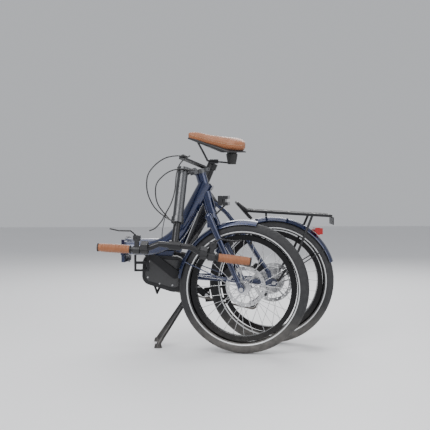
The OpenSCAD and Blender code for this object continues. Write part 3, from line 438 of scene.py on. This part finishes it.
def make_finishes(colours):
    """Every finish on the bicycle, by a maker's plain name."""
    paint, leather, rubber = colours.paint, colours.leather, colours.rubber
    FINISHES.update(
        paint=finish("Navy_paint", paint, (0.22, 0.3), 0.55, 900, 0.2, 0.000004, 0.35, flakes=(0.05, 0.1, 0.3),
                     dust=0.1, coat_weight=1.0, coat_roughness=0.05),
        black_metal=finish("Black_satin_metal", (0.018, 0.018, 0.02), (0.3, 0.42), 0.4, 900, 0.4, 0.00001, 0.25,
                           scuffs=0.12, scuff_colour=(0.2, 0.2, 0.2), dust=0.25),
        black_plastic=finish("Black_moulded_plastic", (0.016, 0.016, 0.018), (0.4, 0.55), 0.0, 1100, 0.9, 0.00004,
                             0.3, scuffs=0.05, dust=0.15),
        gloss_black=finish("Gloss_black_cover", (0.012, 0.012, 0.014), (0.18, 0.26), 0.0, 700, 0.2, 0.000004, 0.2,
                           scuffs=0.05, coat_weight=0.6, coat_roughness=0.08),
        charcoal=finish("Charcoal_anodised", colours.handlepost, (0.32, 0.42), 0.85, 1400, 0.2, 0.000008, 0.18,
                        scuffs=0.05, scuff_colour=(0.45, 0.45, 0.45)),
        steel=finish("Bright_steel", (0.62, 0.62, 0.63), (0.2, 0.34), 1.0, 1200, 0.2, 0.00001, 0.22, scuffs=0.1,
                     scuff_colour=(0.3, 0.28, 0.26)),
        alloy=finish("Polished_alloy", (0.6, 0.6, 0.62), (0.24, 0.34), 1.0, 900, 0.3, 0.00001, 0.15),
        chain=finish("Oiled_chain", (0.28, 0.26, 0.24), (0.3, 0.42), 1.0, 900, 0.5, 0.00002, 0.5, scuffs=0.4,
                     scuff_colour=(0.05, 0.045, 0.04)),
        rim=finish("Black_anodised_rim", (0.014, 0.014, 0.015), (0.22, 0.32), 0.7, 1300, 0.2, 0.000008, 0.2,
                   scuffs=0.04, scuff_colour=(0.4, 0.4, 0.4), dust=0.15),
        tyre=finish("Tyre_rubber", rubber, (0.66, 0.8), 0.0, 1500, 0.6, 0.00005, 0.3, scuffs=0.1,
                    scuff_colour=(0.1, 0.1, 0.1), dust=0.5),
        reflective=finish("Reflective_line", (0.7, 0.71, 0.72), (0.3, 0.4), 0.3, 1800, 1.0, 0.00002, 0.2),
        leather=finish("Tan_leather", leather, (0.42, 0.58), 0.0, 620, 1.1, 0.00016, 0.42, scuffs=0.12,
                       scuff_colour=(0.32, 0.13, 0.05), sheen_weight=0.15),
        thread=finish("Waxed_thread", (0.78, 0.6, 0.42), (0.5, 0.6), 0.0, 3000, 0.6, 0.00004, 0.3),
        cable=finish("Cable_housing", (0.012, 0.012, 0.013), (0.32, 0.42), 0.0, 1500, 0.3, 0.00001, 0.2),
        bumper=finish("Soft_black_rubber", (0.014, 0.014, 0.014), (0.5, 0.65), 0.0, 1200, 0.7, 0.00005, 0.3,
                      dust=0.3),
        red=finish("Red_lens", (0.4, 0.012, 0.012), (0.12, 0.2), 0.0, 900, 0.3, 0.000004, 0.25,
                   coat_weight=0.8, coat_roughness=0.05),
    )


# Which finish each solid that stays as it is takes, by its material slot
SLOT_FINISH = {
    "navy": "paint", "black_metal": "black_metal", "black_plastic": "black_plastic", "charcoal": "charcoal",
    "steel": "steel", "alloy": "alloy", "rim_black": "rim", "tyre": "tyre", "tan_leather": "leather",
    "cable": "cable", "red_lens": "red",
}


# ---- Settings ----


class BicycleColours(bpy.types.PropertyGroup):
    """The colours a maker would choose."""

    paint: FloatVectorProperty(
        name="Frame paint", description="Metallic paint on the frame", subtype="COLOR", size=3,
        default=(0.005, 0.011, 0.048), min=0, max=1,
    )
    leather: FloatVectorProperty(
        name="Leather", description="Saddle and grips", subtype="COLOR", size=3, default=(0.33, 0.115, 0.04),
        min=0, max=1,
    )
    handlepost: FloatVectorProperty(
        name="Handlepost", description="Anodised handlepost tubes", subtype="COLOR", size=3,
        default=(0.1, 0.102, 0.107), min=0, max=1,
    )
    rubber: FloatVectorProperty(
        name="Tyre rubber", description="Tread and side walls", subtype="COLOR", size=3,
        default=(0.024, 0.024, 0.026), min=0, max=1,
    )


class BicycleSizes(bpy.types.PropertyGroup):
    """The sizes a maker would change; the bicycle's own frame sets the rest."""

    tread_blocks: IntProperty(
        name="Tread blocks", description="Blocks round one tyre", default=90, min=30, max=160
    )
    tread_depth: FloatProperty(
        name="Tread depth", description="Depth of the grooves between blocks", default=0.0016, min=0, max=0.003,
        unit="LENGTH",
    )
    saddle_puff: FloatProperty(
        name="Saddle puff", description="Furthest that the padding may swell", default=0.0025, min=0, max=0.006,
        unit="LENGTH",
    )
    floor_width: FloatProperty(
        name="Floor width", description="Side of the pale floor", default=16.0, min=4, max=40, unit="LENGTH"
    )


# ---- Operators ----


class MakeStage(bpy.types.Operator):
    """Camera, floor and soft studio light"""

    bl_idname = "bicycle.stage"
    bl_label = "Stage"

    def execute(self, context):
        scene = context.scene
        azimuth, height, distance = np.radians(-2.87), np.radians(2.94), 4.7384
        target = REAR_WHEEL.row([-236.17, 0.0, 274.28])
        back = np.array([np.sin(azimuth) * np.cos(height), -np.cos(azimuth) * np.cos(height), np.sin(height)])
        data = bpy.data.cameras.new("Camera")
        data.lens, data.sensor_width = 96.28, 36.0
        camera = bpy.data.objects.new("Camera", data)
        camera.matrix_world = (
            Matrix.Translation(Vector(target + back * distance))
            @ Vector(back).to_track_quat("Z", "Y").to_matrix().to_4x4()
        )
        scene.collection.objects.link(camera)
        scene.camera = camera
        width = scene.bicycle_sizes.floor_width
        floor_z = CAD_BOX[0][2] - 0.0005
        side = np.linspace(-width / 2, width / 2, 5)
        grid = np.stack(np.meshgrid(side, side, [floor_z], indexing="ij"), axis=-1)[:, :, 0]
        floor = Shape().grid(grid, wrap_columns=False, caps=False).build("Floor")
        floor.data.materials.append(
            finish("Pale_floor", (0.74, 0.74, 0.75), (0.5, 0.6), grain=30, relief=0.0001, tone=0.02)
        )
        world = bpy.data.worlds.new("Studio")
        world.use_nodes = True
        world.node_tree.nodes["Background"].inputs["Color"].default_value = (0.86, 0.88, 0.92, 1.0)
        world.node_tree.nodes["Background"].inputs["Strength"].default_value = 0.62
        scene.world = world
        middle = Vector((0.0, 0.0, 0.4))
        for name, place, power, size in (
            ("Key", (-1.6, -2.6, 3.0), 120.0, 2.2),
            ("Fill", (2.6, -2.0, 1.6), 45.0, 2.5),
            ("Rim", (0.6, 2.6, 2.4), 80.0, 2.0),
            ("Top", (0.0, 0.0, 3.4), 50.0, 2.6),
        ):
            light = bpy.data.lights.new(name, "AREA")
            light.energy, light.size = power, size
            lamp = bpy.data.objects.new(name, light)
            lamp.location = place
            lamp.rotation_euler = (middle - lamp.location).to_track_quat("-Z", "Y").to_euler()
            scene.collection.objects.link(lamp)
        return {"FINISHED"}


# The cables' routes in millimetres from the ground under the rear axle, with their radii
ROUTES = {
    "Shift_cable": (2.5, [[-352, -255, 772], [-395, -265, 776], [-440, -280, 768], [-480, -292, 742],
                          [-508, -302, 705], [-514, -310, 662], [-506, -316, 620], [-482, -322, 576],
                          [-440, -334, 540], [-405, -351, 523]]),
    "Gear_cable": (2.5, [[-331, -266, 719], [-381, -287, 725], [-420, -284, 718], [-452, -296, 698],
                         [-476, -304, 668], [-480, -310, 628], [-470, -316, 588], [-440, -323, 548],
                         [-405, -351, 515]]),
    "Brake_hose": (2.5, [[-505, -340, 490], [-482, -338, 500], [-458, -334, 526], [-446, -330, 548],
                         [-420, -322, 596], [-406, -308, 644], [-400, -294, 700], [-390, -280, 736],
                         [-372, -266, 760], [-346, -254, 776]]),
    "Display_lead": (1.5, [[-456, -340, 458], [-454, -338, 492], [-444, -335, 542], [-432, -330, 574]]),
}


class MakeCables(bpy.types.Operator):
    """Cable housings and the hose between the handlebar and the handlepost"""

    bl_idname = "bicycle.cables"
    bl_label = "Cables"

    def execute(self, context):
        for name, (radius, route) in ROUTES.items():
            path = smooth_path(np.array(route, float) - [0, 0, TYRE_RADIUS], 10)
            tube = Shape().grid(REAR_WHEEL.row(carried(path, oval(radius, radius, 16)))).build(name)
            set_piece(tube, "handlepost", "cable", FINISHES["cable"], "cables")
        return {"FINISHED"}


class MakeFinishes(bpy.types.Operator):
    """Every finish, and the finishes of the solids that stay as they are"""

    bl_idname = "bicycle.finishes"
    bl_label = "Finishes"

    def execute(self, context):
        make_finishes(context.scene.bicycle_colours)
        for part in frame["record"]["subparts"]:
            solid = NODES[part["node"]]
            name = NODE_FINISH.get(part["node"], SLOT_FINISH[part["material_slot"]])
            solid.data.materials.clear()
            solid.data.materials.append(FINISHES[name])
        return {"FINISHED"}


# Solids whose finish differs from their slot's
NODE_FINISH = {
    "motor_cover": "gloss_black", "battery": "gloss_black", "elastomer": "bumper", "chain": "chain",
    "controls": "black_plastic", "headlight": "gloss_black",
}


class MakeTyres(bpy.types.Operator):
    """Tyres with a block tread and a reflective line on each side"""

    bl_idname = "bicycle.tyres"
    bl_label = "Tyres"

    def execute(self, context):
        sizes = context.scene.bicycle_sizes
        depth = sizes.tread_depth / MM
        blocks = sizes.tread_blocks
        for side, wheel in WHEELS.items():
            # Cross-section: an oval about the rim's edge; v runs from bead to bead over the tread
            around = np.linspace(0, FULL_TURN, blocks * 8, endpoint=False)[:, None]
            v = np.radians(np.linspace(-128, 128, 57))[None, :]
            half = TYRE_WIDTH / 2
            middle = TYRE_RADIUS - half
            # Grooves: two rings, and slanted cuts that run out from them, only on the crown
            crown = np.clip((np.cos(v) - 0.45) / 0.2, 0, 1)
            rings = np.exp(-(((np.abs(v) - 0.34) / 0.05) ** 2))
            slant = (around * blocks / FULL_TURN + np.abs(v) * 1.4 + np.sign(v) * 0.25) % 1.0
            cuts = np.exp(-(((slant - 0.5) / 0.13) ** 2)) * (np.abs(v) > 0.42)
            shallow = np.exp(-(((slant - 0.5) / 0.1) ** 2)) * (np.abs(v) < 0.26) * 0.6
            groove = depth * crown * np.clip(rings + cuts + shallow, 0, 1)
            reach = half - 0.4 - groove
            radius = middle + reach * np.cos(v)
            along = reach * np.sin(v) * (1 + 0 * around)
            outer = np.stack([radius * np.cos(around), along, radius * np.sin(around)], axis=-1)
            lining = half - TYRE_WALL
            inner_r = middle + lining * np.cos(v[:, ::-1])
            inner = np.stack(
                [
                    inner_r * np.cos(around),
                    lining * np.sin(v[:, ::-1]) + 0 * around,
                    inner_r * np.sin(around),
                ],
                axis=-1,
            )
            shell = Shape().grid(
                wheel.row(np.concatenate([outer, inner], axis=1)), wrap_rows=True, caps=False
            ).build(f"{side.title()}_tyre", 60)
            set_piece(shell, f"{side}_wheel", "tyre", FINISHES["tyre"], f"{side}_tyre")
            lines = Shape()
            for sign in (-1, 1):
                lift = np.radians(np.linspace(104, 114, 5))
                skin, under = (
                    np.stack([middle + reach * np.cos(lift), sign * reach * np.sin(lift)], axis=-1)
                    for reach in (half - 0.2, half - 1.2)
                )
                band = turned(np.concatenate([skin, under[::-1]]), 180)
                lines.grid(wheel.row(band), wrap_rows=True, caps=False)
            set_piece(
                lines.build(f"{side.title()}_reflective_lines"), f"{side}_wheel", "tyre", FINISHES["reflective"]
            )
        return {"FINISHED"}


# Saddle sections: x from the seatpost's axis, then half width, top and bottom, in millimetres
SADDLE_SECTIONS = [
    [-107, 10, 116, 98], [-102, 15, 119, 94], [-90, 19, 120, 90], [-60, 22, 116, 80], [-30, 28, 110, 68],
    [0, 40, 105, 58], [30, 58, 101, 48], [60, 73, 97, 42], [90, 78, 94, 40], [112, 72, 91, 41], [124, 60, 85, 46],
    [128, 48, 78, 54],
]


def saddle_skin(rows=64, columns=72):
    """The cushion: in each section x = half width * cos^(2/p), and z runs between bottom and top as sin^(2/p),
    dished by a shallow channel exp(-(y/9)^2) along the middle of the seat."""
    table = np.array(SADDLE_SECTIONS, float)
    x = table[0, 0] + (table[-1, 0] - table[0, 0]) * (1 - np.cos(np.linspace(0, np.pi, rows))) / 2
    half, top, low = (np.interp(x, table[:, 0], table[:, i]) for i in (1, 2, 3))
    smooth = np.array([1, 2, 3, 2, 1]) / 9
    half, top, low = (np.convolve(np.pad(v, 2, "edge"), smooth, "valid") for v in (half, top, low))
    a = np.linspace(0, FULL_TURN, columns, endpoint=False)
    c, s = np.cos(a), np.sin(a)
    across = half[:, None] * np.sign(c) * np.abs(c) ** 0.8
    middle, high = (top + low)[:, None] / 2, (top - low)[:, None] / 2
    rise = middle + high * np.sign(s) * np.abs(s) ** np.where(s > 0, 0.85, 0.6)
    channel = np.exp(-((across / 9) ** 2)) * np.clip(s, 0, 1) * np.clip((x[:, None] + 60) / 60, 0, 1)
    channel = channel * np.clip((118 - x[:, None]) / 30, 0, 1)
    return np.stack([np.broadcast_to(x[:, None], across.shape), across, rise - 3.0 * channel], axis=-1)


class MakeSaddle(bpy.types.Operator):
    """Padded leather saddle with its stitched seams"""

    bl_idname = "bicycle.saddle"
    bl_label = "Saddle"

    def execute(self, context):
        scene = context.scene
        cushion = Shape().grid(SADDLE.row(saddle_skin())).build("Saddle_cushion", 70)
        remesh = cushion.modifiers.new("Even cells", "REMESH")
        remesh.mode, remesh.voxel_size = "VOXEL", 0.0045
        apply_modifiers(cushion)
        before = mesh_points(cushion)
        cloth = cushion.modifiers.new("Padding", "CLOTH")
        cloth.settings.use_pressure = True
        cloth.settings.uniform_pressure_force = 4.0
        cloth.settings.effector_weights.gravity = 0.0
        cloth.settings.quality = 4
        cloth.point_cache.frame_start, cloth.point_cache.frame_end = 1, 20
        for step in range(1, 21):
            scene.frame_set(step)
        apply_modifiers(cushion)
        scene.frame_set(1)
        moved = mesh_points(cushion) - before
        size = np.linalg.norm(moved, axis=1, keepdims=True)
        limit = scene.bicycle_sizes.saddle_puff
        moved *= np.minimum(1.0, limit / np.maximum(size, 1e-9))
        cushion.data.vertices.foreach_set("co", (before + moved).ravel())
        cushion.data.update()
        # A sewn seam round the side draws the leather in
        points = mesh_points(cushion)
        table = np.array(SADDLE_SECTIONS, float)
        local = (points - SADDLE.origin) @ SADDLE.axes.T / MM
        level = np.interp(local[:, 0], table[:, 0], table[:, 2] * 0.42 + table[:, 3] * 0.58)
        draw = 1.3 * np.exp(-(((local[:, 2] - level) / 2.2) ** 2))
        normals = np.empty(len(points) * 3)
        cushion.data.vertices.foreach_get("normal", normals)
        points = points - MM * draw[:, None] * normals.reshape(-1, 3)
        cushion.data.vertices.foreach_set("co", points.ravel())
        cushion.data.polygons.foreach_set("use_smooth", np.ones(len(cushion.data.polygons), bool))
        finer = cushion.modifiers.new("Smooth", "SUBSURF")
        finer.levels = finer.render_levels = 1
        set_piece(cushion, "saddle", "tan_leather", FINISHES["leather"], "saddle_cover")
        return {"FINISHED"}


def mesh_points(piece):
    """The mesh's points as rows."""
    points = np.empty(len(piece.data.vertices) * 3)
    piece.data.vertices.foreach_get("co", points)
    return points.reshape(-1, 3)


def apply_modifiers(piece):
    """Bakes the piece's modifiers into its mesh."""
    graph = bpy.context.evaluated_depsgraph_get()
    mesh = bpy.data.meshes.new_from_object(piece.evaluated_get(graph))
    piece.modifiers.clear()
    piece.data = mesh


class MakeGrips(bpy.types.Operator):
    """Shaped leather grips with a stitched seam and metal end rings"""

    bl_idname = "bicycle.grips"
    bl_label = "Grips"

    def execute(self, context):
        for name, side in (("Left", -1), ("Right", 1)):
            place = grip_place(side)
            y = np.linspace(0, 1, 72)
            swell = 15.4 + 1.1 * np.sin(np.pi * y) + 0.9 * np.cos(y * 40 * np.pi) * (y > 0.06) * (y < 0.94)
            swell = swell * np.where((y < 0.015) | (y > 0.985), 0.93, 1.0)
            along = -side * (4 + y * 122)
            a = np.linspace(0, FULL_TURN, 40, endpoint=False)
            seam = 1 - 0.05 * np.exp(-(((a - np.pi * 1.5) / 0.08) ** 2))
            grid = np.stack(
                [
                    swell[:, None] * seam * np.cos(a),
                    along[:, None] + 0 * a,
                    swell[:, None] * seam * np.sin(a),
                ],
                axis=-1,
            )
            grip = Shape().grid(place.row(grid)).build(f"{name}_grip", 60)
            set_piece(grip, "handlebar", "tan_leather", FINISHES["leather"], "grips")
            rings = Shape()
            for start in (0.5, 126.5):
                profile = np.array([[11.6, 0], [15.6, 0], [16.4, 0.8], [16.4, 3.2], [15.6, 4], [11.6, 4]])
                profile[:, 1] = -side * (start - 1.5 + profile[:, 1])
                rings.grid(place.row(turned(profile, 48)), wrap_rows=True, caps=False)
            set_piece(rings.build(f"{name}_grip_rings"), "handlebar", "black_metal", FINISHES["black_metal"])
        return {"FINISHED"}


class MakeTrim(bpy.types.Operator):
    """Disc bolts, valves and motor screws"""

    bl_idname = "bicycle.trim"
    bl_label = "Trim"

    def execute(self, context):
        for side, wheel in WHEELS.items():
            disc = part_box(f"{side}_rotor")
            out = np.sign((np.mean(np.array(disc), axis=0) - wheel.origin) @ wheel.axes[1])
            bolts = Shape()
            for turn in np.arange(6) * FULL_TURN / 6:
                spot = wheel.at(22 * np.cos(turn), out * (abs(ROTOR_SIDE) + 0.9), 22 * np.sin(turn))
                screw(bolts, spot.at(axis=0, degrees=180) if out > 0 else spot, 3.6, 2.2)
            set_piece(bolts.build(f"{side.title()}_disc_bolts"), f"{side}_wheel", "steel", FINISHES["steel"])
            turn = np.radians(99.0)
            radial = -(np.cos(turn) * wheel.axes[0] + np.sin(turn) * wheel.axes[2])
            root = wheel.row([209.5 * np.cos(turn), 0, 209.5 * np.sin(turn)])
            profile = np.array(
                [[0.01, 0], [5, 0], [5, 2], [3, 2.4], [3, 26], [4, 26.5], [4, 35], [3.2, 37], [0.01, 37]]
            )
            stem = Shape().grid(Place(root, wheel.axes[1], radial).row(turned(profile, 24)), wrap_rows=True,
                                wrap_columns=False, caps=False)
            set_piece(stem.build(f"{side.title()}_valve"), f"{side}_wheel", "black_plastic", FINISHES["bumper"])
        face = CRANKS.at(y=-54.3)
        screws = Shape()
        for x, z in ((-104, 50), (-110, -14), (-10, -47), (26, 32), (-50, 50), (-62, -40)):
            screw(screws, face.at(x, 0, z), 3.4, 1.8)
        set_piece(screws.build("Motor_screws"), "rear_frame", "steel", FINISHES["steel"])
        return {"FINISHED"}


class MakeStitches(bpy.types.Operator):
    """Thread along the saddle's seam"""

    bl_idname = "bicycle.stitches"
    bl_label = "Saddle stitches"

    def execute(self, context):
        cushion = bpy.data.objects["Saddle_cushion"]
        table = np.array(SADDLE_SECTIONS, float)
        x = np.linspace(-98, 118, 56)
        half = np.interp(x, table[:, 0], table[:, 1])
        level = np.interp(x, table[:, 0], table[:, 2] * 0.42 + table[:, 3] * 0.58) + 3.4
        line = np.concatenate([np.stack([x, side * half, level], -1) for side in (-1, 1)])
        near = [cushion.closest_point_on_mesh(Vector(point))[1:3] for point in SADDLE.row(line)]
        spots = np.array([point[:] for point, _ in near])
        outward = unit(np.array([normal[:] for _, normal in near]))
        along = unit(np.gradient(spots.reshape(2, -1, 3), axis=1).reshape(-1, 3))
        along = unit(along - outward * np.sum(along * outward, axis=1, keepdims=True))
        across = np.cross(outward, along)
        # One stitch: rings of 6 points whose radius is sqrt(1 - t^2), for t along its length
        t = np.array([-0.96, -0.6, 0.0, 0.6, 0.96])
        a = np.linspace(0, FULL_TURN, 6, endpoint=False)
        ring = np.sqrt(1 - t**2)[:, None] * 0.55
        points = np.stack([t[:, None] * 1.5 + 0 * a, ring * np.cos(a), ring * np.sin(a)], -1)
        points = points.reshape(-1, 3) * MM
        stitch = Shape().grid(points.reshape(5, 6, 3), caps=False)
        ends = np.array([[0, 1, 2, 3], [0, 3, 4, 5], [27, 26, 25, 24], [29, 28, 27, 24]])
        faces = np.concatenate([np.array(stitch.faces), ends])
        axes = np.stack([along, across, outward], axis=1)
        seam = Shape().repeat(points, faces, spots + 0.0002 * outward, axes)
        set_piece(seam.build("Saddle_stitches"), "saddle", "tan_leather", FINISHES["thread"])
        return {"FINISHED"}


# ---- Add-on ----

MAKERS = [MakeStage, MakeFinishes, MakeCables, MakeTyres, MakeSaddle, MakeGrips, MakeTrim, MakeStitches]


class BicyclePanel(bpy.types.Panel):
    """Lists the bicycle's pieces, sizes and colours"""

    bl_idname = "VIEW3D_PT_bicycle"
    bl_label = "Bicycle"
    bl_space_type = "VIEW_3D"
    bl_region_type = "UI"
    bl_category = "Bicycle"

    def draw(self, context):
        column = self.layout.column()
        for settings in (context.scene.bicycle_colours, context.scene.bicycle_sizes):
            for name in settings.__annotations__:
                column.prop(settings, name)
        for maker in MAKERS:
            column.operator(maker.bl_idname)


CLASSES = [BicycleColours, BicycleSizes, *MAKERS, BicyclePanel]


def register():
    """Adds the classes and the settings."""
    for item in CLASSES:
        bpy.utils.register_class(item)
    bpy.types.Scene.bicycle_colours = PointerProperty(type=BicycleColours)
    bpy.types.Scene.bicycle_sizes = PointerProperty(type=BicycleSizes)


def unregister():
    """Takes the settings and the classes away."""
    del bpy.types.Scene.bicycle_sizes
    del bpy.types.Scene.bicycle_colours
    for item in reversed(CLASSES):
        bpy.utils.unregister_class(item)


def main():
    """Makes the bicycle."""
    register()
    for maker in MAKERS:
        group, name = maker.bl_idname.split(".")
        getattr(getattr(bpy.ops, group), name)()


if __name__ == "__main__":
    main()
